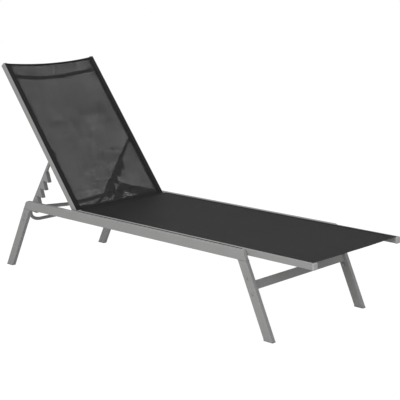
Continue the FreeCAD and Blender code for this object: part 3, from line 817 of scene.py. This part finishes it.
def cylinder(vertices, radius, depth, middle):
    """A cylinder round the Z axis, with its middle at a height."""
    deselect()
    bpy.ops.mesh.primitive_cylinder_add(
        vertices=vertices, radius=radius, depth=depth, location=(0, 0, middle)
    )
    return bpy.context.view_layer.objects.active


def cut(piece, operation, tool):
    """Combines a piece with a tool and deletes the tool."""
    add_modifier(piece, "BOOLEAN", operation=operation, object=tool)
    bpy.data.objects.remove(tool)


def socket_bolt(head_radius, head_high, shank_radius, shank_long):
    """A button head bolt with a hexagon socket: head above the XY plane, shank below."""
    bolt = cylinder(32, head_radius, head_high, head_high / 2)
    place(bolt, Matrix.Identity(4))
    choose(bolt, "FACE", lambda face: face.normal.z < -0.99)
    bpy.ops.mesh.inset(thickness=head_radius - shank_radius)
    bpy.ops.mesh.extrude_region_move(TRANSFORM_OT_translate={"value": (0, 0, -shank_long)})
    bpy.ops.object.mode_set(mode="OBJECT")

    def rim(edge):
        return all(bolt.data.vertices[v].co.z > head_high - 1e-5 for v in edge.vertices)

    choose(bolt, "EDGE", rim)
    bpy.ops.mesh.bevel(offset=head_high * 0.62, segments=5, affect="EDGES")
    bpy.ops.object.mode_set(mode="OBJECT")
    cut(bolt, "DIFFERENCE", cylinder(6, head_radius * 0.42, head_high, head_high * 0.95))
    smooth(bolt, 35)
    return bolt


def hex_nut(radius, thick, bore):
    """A hexagon nut with chamfered corners, on the XY plane."""
    nut = cylinder(6, radius, thick, thick / 2)
    place(nut, Matrix.Identity(4))
    drum = cylinder(32, radius * 0.985, thick, thick / 2)

    def level(edge):
        one, two = (drum.data.vertices[v].co.z for v in edge.vertices)
        return abs(one - two) < 1e-6

    choose(drum, "EDGE", level)
    bpy.ops.mesh.bevel(offset=radius * 0.1, segments=2, affect="EDGES")
    bpy.ops.object.mode_set(mode="OBJECT")
    cut(nut, "INTERSECT", drum)
    cut(nut, "DIFFERENCE", cylinder(24, bore, 3 * thick, thick / 2))
    smooth(nut, 30)
    return nut


def facing(side, spot):
    """Turns +Z toward +Y or -Y and moves to a spot."""
    return Matrix.Translation(spot) @ Matrix.Rotation(-side * math.pi / 2, 4, "X")


def corner_spots(node, radius, slope):
    """Centres of the upper and lower fastener of a leg, from the node's own box."""
    low, high = span(node)
    left, right = low.x + radius, high.x - radius
    upper, lower = (right, left) if slope > 0 else (left, right)
    return ((upper, high.z - radius), (lower, low.z + radius))


class LOUNGER_OT_fasteners(bpy.types.Operator):
    """Socket bolts and nuts of the legs, the hinge and the support's pivots."""

    bl_idname = "lounger.fasteners"
    bl_label = "Bolts and Nuts"

    def execute(self, context):
        self.leg_fasteners("brace", -1)
        self.leg_fasteners("bar", 1)
        self.pivot_bolts("hinge_bolts", HINGE, HINGE_SEAT, "base")
        self.pivot_bolts("support_pivot_bolts", PIVOT, PIVOT_SEAT, "backrest")
        return {"FINISHED"}

    def spread(self, master, places, name, body, node):
        """Copies a fastener to its places, in one piece that stands for a frame part."""
        copies = [copy_of(master, matrix) for matrix in places]
        bpy.data.objects.remove(master)
        dress(join(copies, name), body, MATERIALS["steel"], [node])

    def leg_fasteners(self, name, slope):
        """Bolts from outside through both legs of one end, with their nuts inside."""
        outside = span("rail_left")[1].y
        inside = span(f"{name}_nuts")[1].y
        corners = corner_spots(f"{name}_bolts", LEG_HEAD, slope)
        spots = [(x, side, z) for x, z in corners for side in (1, -1)]
        places = [facing(side, (x, side * outside, z)) for x, side, z in spots]
        bolt = socket_bolt(LEG_HEAD, 2.4 * MM, 3 * MM, LEG_BOLT_LONG)
        self.spread(bolt, places, f"{name}_socket_bolts", "base", f"{name}_bolts")
        places = [facing(-side, (x, side * inside, z)) for x, side, z in spots]
        nut = hex_nut(6.0 * MM, 4.8 * MM, 3.05 * MM)
        self.spread(nut, places, f"{name}_hex_nuts", "base", f"{name}_nuts")

    def pivot_bolts(self, node, axis, seat, body):
        """The bolts that a joint turns on, with their heads on the inside."""
        shank = span(node)[1].y - seat
        places = [facing(-side, (axis[0], side * seat, axis[2])) for side in (1, -1)]
        bolt = socket_bolt(PIVOT_HEAD, 3.6 * MM, 4 * MM, shank)
        self.spread(bolt, places, node.replace("bolts", "socket_bolts"), body, node)


# ---------------------------------------------------------------- welds
BEAD = 1.5 * MM  # half the thickness of a weld bead
ACROSS = Matrix.Rotation(math.pi / 2, 4, "X")  # turns a ring round a tube that runs along Y


def weld_ring(radius, spot):
    """A rippled bead round a cross tube."""
    deselect()
    bpy.ops.mesh.primitive_torus_add(
        major_radius=radius, minor_radius=BEAD, major_segments=48, minor_segments=8
    )
    ring = bpy.context.view_layer.objects.active
    for vertex in ring.data.vertices:
        x, y, z = vertex.co
        turn = math.atan2(y, x)
        swell = 1 + 0.012 * math.sin(16 * turn) + 0.008 * math.sin(7 * turn + 1)
        vertex.co = (x * swell, y * swell, z * (1 + 0.15 * math.sin(16 * turn)))
    place(ring, Matrix.Translation(spot) @ ACROSS)
    return ring


def weld_line(start, end):
    """A straight bead laid down in small overlapping drops."""
    start, end = Vector(start), Vector(end)
    run = end - start
    pitch, wide = 1.7 * MM, 1.8 * MM
    deselect()
    bpy.ops.mesh.primitive_uv_sphere_add(segments=10, ring_count=6, radius=1.0, location=(0, 0, 0))
    drop = bpy.context.view_layer.objects.active
    place(drop, Matrix.Diagonal((BEAD, wide, wide, 1.0)))
    add_modifier(
        drop, "ARRAY", count=max(2, int(run.length / pitch)), use_relative_offset=False,
        use_constant_offset=True, constant_offset_displace=(pitch, 0, 0),
    )
    turn = run.to_track_quat("X", "Z").to_matrix().to_4x4()
    place(drop, Matrix.Translation(start) @ turn)
    return drop


def dress_welds(beads, name, body):
    """Joins beads in one painted piece."""
    piece = join(beads, name)
    smooth(piece, 60)
    dress(piece, body, MATERIALS["coat"])


class LOUNGER_OT_welds(bpy.types.Operator):
    """Painted weld beads where tubes meet."""

    bl_idname = "lounger.welds"
    bl_label = "Welds"

    def execute(self, context):
        frame_beads = [*self.cross_tubes(), *self.legs(), *self.brace()]
        dress_welds(frame_beads, "frame_welds", "base")
        dress_welds(self.backrest_tubes(), "backrest_welds", "backrest")
        dress_welds(self.racks(), "support_welds", "support")
        return {"FINISHED"}

    def cross_tubes(self):
        """Rings at both ends of the seat's cross tubes and of the support bar."""
        tubes = [(f"seat_cross_tube_{name}", CROSS_RADIUS) for name in ("rear", "middle", "foot")]
        beads = []
        for node, radius in (*tubes, ("support_bar", BAR_RADIUS)):
            low, high = span(node)
            for side in (1, -1):
                spot = ((low.x + high.x) / 2, side * high.y, high.z - radius)
                beads.append(weld_ring(radius, spot))
        return beads

    def legs(self):
        """Beads round three sides of each leg, under its rail."""
        margin = 2 * MM
        beads = []
        for end, out in ENDS.items():
            for word, side in SIDES.items():
                low, high = span(f"{end}_leg_{word}")
                inner = high.x if out < 0 else low.x
                outer = inner + out * LEG_CUT
                for x in (inner, outer):
                    beads.append(weld_line((x, low.y + margin, high.z), (x, high.y - margin, high.z)))
                face = low.y if side > 0 else high.y
                left, right = min(inner, outer), max(inner, outer)
                beads.append(weld_line((left, face, high.z), (right, face, high.z)))
        return beads

    def brace(self):
        """Beads above and below the front brace, on its end plates."""
        low, high = span("front_brace")
        margin, short = 2 * MM, 6 * MM
        left, right = low.x + short, high.x - short
        return [
            weld_line((left, side * high.y, z), (right, side * high.y, z))
            for side in (1, -1)
            for z in (low.z + margin, high.z - margin)
        ]

    def backrest_tubes(self):
        """Rings at both ends of the backrest's tubes."""
        beads = []
        for name, (along, front) in (("lower", LOWER_TUBE), ("upper", UPPER_TUBE)):
            edge = span(f"backrest_{name}_tube")[1].y
            for side in (1, -1):
                spot = Vector(HINGE) + UP_BACK * along + OUT_FRONT * front + Vector((0, side * edge, 0))
                beads.append(weld_ring(CROSS_RADIUS, spot))
        return beads

    def racks(self):
        """Short beads on both edges of the racks, above the first tooth and at each tooth's root."""
        arm = Vector((-math.sin(ARM_TILT), 0, -math.cos(ARM_TILT)))
        toward = Vector((math.cos(ARM_TILT), 0, -math.sin(ARM_TILT)))
        aside, out, half = 8.2 * MM, 4.5 * MM, 4 * MM
        beads = []
        for side in (1, -1):
            for tooth in range(-1, 5):
                down = TOOTH_FIRST + TOOTH_UNDER + TOOTH_PITCH * tooth
                for edge in (aside, -aside):
                    across = Vector((0, side * ARM_ASIDE + edge, 0))
                    spot = Vector(PIVOT) + arm * down + toward * out + across
                    beads.append(weld_line(spot - arm * half, spot + arm * half))
        return beads


# ---------------------------------------------------------------- finishes on the frame
PAINTED = (
    "rail_left", "rail_right", "rear_leg_left", "rear_leg_right", "front_leg_left", "front_leg_right",
    "front_brace", "brace_plate_left", "brace_plate_right", "bar_plate_left", "bar_plate_right",
    "support_bar", "seat_rail_left", "seat_rail_right", "seat_cross_tube_rear", "seat_cross_tube_middle",
    "seat_cross_tube_foot", "seat_weld_tabs", "backrest_rail_left", "backrest_rail_right",
    "backrest_lower_tube", "backrest_upper_tube", "support_tube", "support_rack_left", "support_rack_right",
)
UNPAINTED = {"foot_cap": "foot", "cap": "plug", "bolts": "steel", "nuts": "steel", "inserts": "steel"}
# black of the plastic parts, and of the strips of painted shade in the gap beside the seat rails
PLASTIC_AND_GAP_SHADE_BLACK = (0.02, 0.02, 0.02)
THREAD_BLACK = (0.03, 0.03, 0.031)


def finish_of(name):
    """Which finish a frame part gets, from its name."""
    if name in PAINTED:
        return "coat"
    return next((kind for word, kind in UNPAINTED.items() if word in name), "black")


class LOUNGER_OT_finishes(bpy.types.Operator):
    """Materials, and their place on the frame's own parts."""

    bl_idname = "lounger.finishes"
    bl_label = "Finishes"

    def execute(self, context):
        paint = context.scene.lounger_paint
        fabric = context.scene.lounger_fabric
        MATERIALS["coat"] = powder_coat("grey_powder_coat", paint.coat, paint.grain)
        MATERIALS["plug"] = moulded("light_cap_plastic", paint.plug, 0.42)
        MATERIALS["foot"] = moulded("foot_plastic", paint.foot, 0.5)
        # also the painted shade of the strips in the gap beside the seat rails
        MATERIALS["black"] = moulded("black_plastic_and_gap_shade", PLASTIC_AND_GAP_SHADE_BLACK, 0.45)
        MATERIALS["steel"] = plated("plated_steel", paint.steel)
        MATERIALS["weave"] = woven("woven_sling", fabric)
        MATERIALS["thread"] = moulded("sewing_thread", THREAD_BLACK, 0.6)
        for name, node in NODES.items():
            node.data.materials.clear()
            node.data.materials.append(MATERIALS[finish_of(name)])
        return {"FINISHED"}


# ---------------------------------------------------------------- studio
WHITE = (1.0, 1.0, 1.0, 1.0)
WARM_WHITE = (1.0, 0.99, 0.98, 1.0)
FLOOR_GREY = (0.72, 0.72, 0.72, 1.0)
LAMP_AIM = (0, 0, 0.35)
LAMPS = {  # place, size, and power as a share of the key light's
    "key_light": ((1.4, -4.7, 2.2), 3.4, 1.0),
    "foot_light": ((5.2, -0.8, 1.5), 2.6, 0.24),
    "top_light": ((-0.6, 0.8, 5.0), 3.0, 0.7),
}
CAMERA_AT = (3.226, -3.215, 1.3662)
CAMERA_TURN, CAMERA_DROP, CAMERA_ROLL = (math.radians(angle) for angle in (44.23, 12.0, -0.56))


class LOUNGER_OT_studio(bpy.types.Operator):
    """Pale floor, soft light and camera."""

    bl_idname = "lounger.studio"
    bl_label = "Studio"

    def execute(self, context):
        stage = context.scene.lounger_stage
        self.floor()
        self.surroundings(context.scene, stage.fill)
        self.lamps(context.scene, stage.key)
        self.camera(context.scene, stage.lens)
        context.scene.view_settings.view_transform = "Standard"
        return {"FINISHED"}

    def floor(self):
        """A wide floor that takes shadows and looks white to the camera."""
        deselect()
        bpy.ops.mesh.primitive_plane_add(size=30.0, location=(0, 0, -0.2 * MM))
        floor = bpy.context.view_layer.objects.active
        floor.name = "floor"
        f = Finish("pale_floor")
        seen = f.node("LightPath", output="Is Camera Ray")
        plain = f.node("BsdfDiffuse", inputs={"Color": FLOOR_GREY})
        bright = f.node("Emission", inputs={"Color": WHITE, "Strength": 1.06})
        mixed = f.node("MixShader", inputs={0: seen * 0.94, 1: plain, 2: bright})
        floor.data.materials.append(f.close(mixed))

    def surroundings(self, scene, fill):
        """Even light from all round, behind which the camera sees white."""
        scene.world = bpy.data.worlds.new("studio")
        graph = Graph(scene.world)
        seen = graph.node("LightPath", output="Is Camera Ray")
        soft = graph.node("Background", inputs={"Color": WARM_WHITE, "Strength": fill})
        white = graph.node("Background", inputs={"Color": WHITE})
        mixed = graph.node("MixShader", inputs={0: seen, 1: soft, 2: white})
        graph.node("OutputWorld", inputs={"Surface": mixed})

    def lamps(self, scene, key):
        """Large soft lamps aimed at the lounger's middle."""
        for name, (at, size, share) in LAMPS.items():
            lamp = bpy.data.lights.new(name, "AREA")
            lamp.size = size
            lamp.energy = key * share
            holder = bpy.data.objects.new(name, lamp)
            scene.collection.objects.link(holder)
            holder.location = at
            aim = Vector(LAMP_AIM) - Vector(at)
            holder.rotation_euler = aim.to_track_quat("-Z", "Y").to_euler()

    def camera(self, scene, focal):
        """The camera, turned round the vertical, dropped below level and rolled."""
        level = math.cos(CAMERA_DROP)
        ahead = Vector(
            (-math.sin(CAMERA_TURN) * level, math.cos(CAMERA_TURN) * level, -math.sin(CAMERA_DROP))
        )
        right = Vector((math.cos(CAMERA_TURN), math.sin(CAMERA_TURN), 0.0))
        above = right.cross(ahead)
        side = right * math.cos(CAMERA_ROLL) + above * math.sin(CAMERA_ROLL)
        above = above * math.cos(CAMERA_ROLL) - right * math.sin(CAMERA_ROLL)
        lens = bpy.data.cameras.new("camera")
        lens.sensor_width = 36.0
        lens.lens = focal
        holder = bpy.data.objects.new("camera", lens)
        scene.collection.objects.link(holder)
        axes = Matrix((side, above, -ahead)).transposed()
        holder.matrix_world = Matrix.Translation(CAMERA_AT) @ axes.to_4x4()
        scene.camera = holder


class LOUNGER_PT_panel(bpy.types.Panel):
    """Lists the lounger's operators."""

    bl_idname = "LOUNGER_PT_panel"
    bl_label = "Sun Lounger"
    bl_space_type = "VIEW_3D"
    bl_region_type = "UI"
    bl_category = "Lounger"

    def draw(self, context):
        for group in GROUPS:
            settings = getattr(context.scene, group)
            box = self.layout.box()
            for name in settings.bl_rna.properties.keys():
                if name not in ("rna_type", "name"):
                    box.prop(settings, name)
        for operator in STEPS:
            self.layout.operator(operator.bl_idname)


GROUPS = {"lounger_fabric": LoungerFabric, "lounger_paint": LoungerPaint, "lounger_stage": LoungerStage}
STEPS = (
    LOUNGER_OT_finishes,
    LOUNGER_OT_seat_sling,
    LOUNGER_OT_back_sling,
    LOUNGER_OT_rail_caps,
    LOUNGER_OT_gap_shade_strips,
    LOUNGER_OT_foot_caps,
    LOUNGER_OT_fasteners,
    LOUNGER_OT_welds,
    LOUNGER_OT_studio,
)


def register():
    for item in (*GROUPS.values(), *STEPS, LOUNGER_PT_panel):
        bpy.utils.register_class(item)
    for name, group in GROUPS.items():
        setattr(bpy.types.Scene, name, bpy.props.PointerProperty(type=group))


def unregister():
    for name in GROUPS:
        delattr(bpy.types.Scene, name)
    for item in (LOUNGER_PT_panel, *reversed(STEPS), *reversed(list(GROUPS.values()))):
        bpy.utils.unregister_class(item)


def main():
    register()
    for step in STEPS:
        space, name = step.bl_idname.split(".")
        getattr(getattr(bpy.ops, space), name)()


if __name__ == "__main__":
    main()
